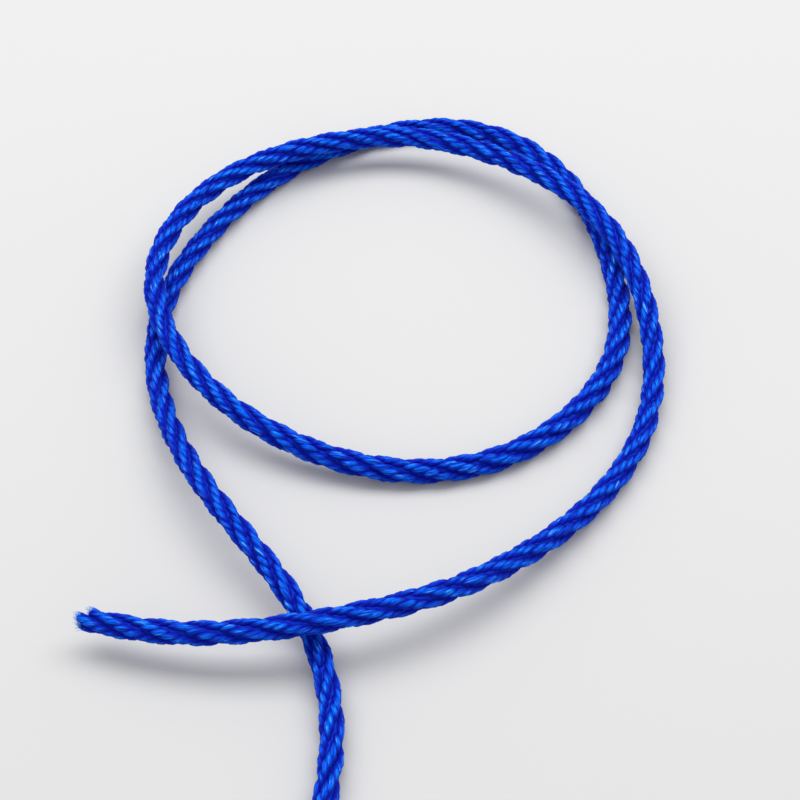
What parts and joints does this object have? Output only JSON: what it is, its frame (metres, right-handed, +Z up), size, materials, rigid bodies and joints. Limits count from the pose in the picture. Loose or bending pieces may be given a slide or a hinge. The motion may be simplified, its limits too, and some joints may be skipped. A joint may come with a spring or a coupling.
{
  "type": "twisted nylon cord lying in loose loops",
  "caption": "Cut length of shiny laid nylon cord lying in loose springy loops, with ragged cut ends, for tying, trimming and craft scenes.",
  "frame": {"origin": "on the surface the cord lies on, under the middle of its outline", "axes": "+Z up from the surface; +Y away from the loose ends, towards the back of the loops; +X to the right as seen from the ends"},
  "size_m": [0.0932, 0.183, 0.01],
  "materials": {
    "nylon_yarn": "satin filament nylon, royal blue"
  },
  "bodies": {
    "root": {"cord": "nylon_yarn"}
  },
  "joints": []
}
